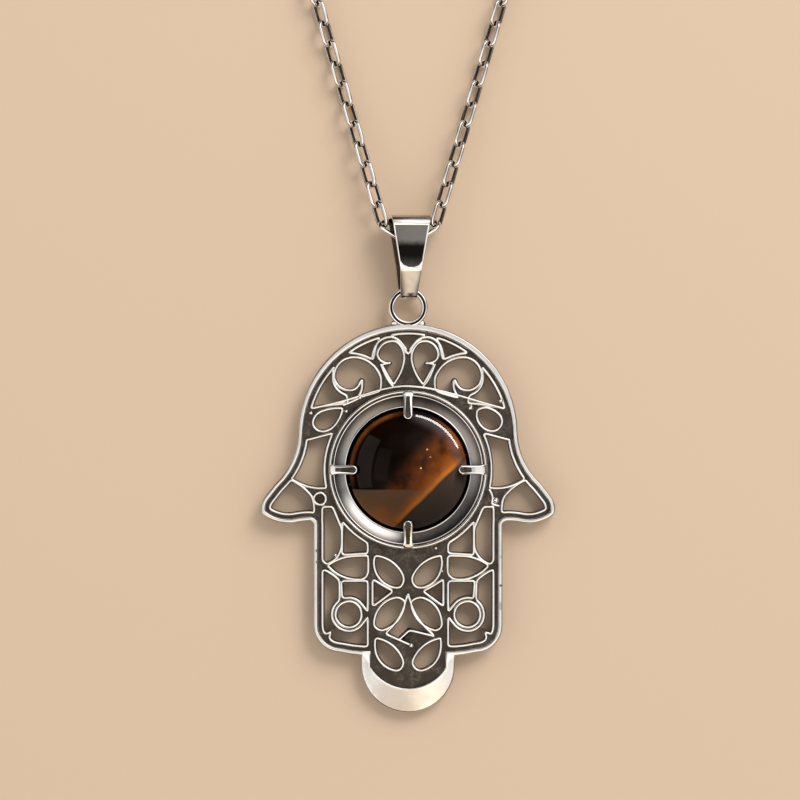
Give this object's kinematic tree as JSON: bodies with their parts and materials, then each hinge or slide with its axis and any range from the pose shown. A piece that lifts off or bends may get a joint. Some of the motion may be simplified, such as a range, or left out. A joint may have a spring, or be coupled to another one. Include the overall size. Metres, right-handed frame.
{
  "type": "openwork hamsa pendant with a round cabochon, on a cable chain",
  "caption": "Openwork silver hamsa hand pendant with a prong-set round brown cabochon, a tapered bail and a cable chain, lying flat.",
  "frame": {"origin": "on the closed flat back of the hand, straight under the middle of the stone", "axes": "+Y up the hand towards the bail and along the necklace, +Z out of the face, the back lies on z = 0"},
  "size_m": [0.0897, 0.2484, 0.0052],
  "materials": {
    "oxidised_silver": "polished silver with blackened recesses",
    "brown_stone": "polished translucent brown stone",
    "polished_silver": "polished silver",
    "chain_silver": "polished silver"
  },
  "bodies": {
    "root": {"hand_casting": "oxidised_silver", "stone": "brown_stone", "bail": "polished_silver", "chain": "chain_silver", "clasp": "chain_silver"}
  },
  "joints": []
}
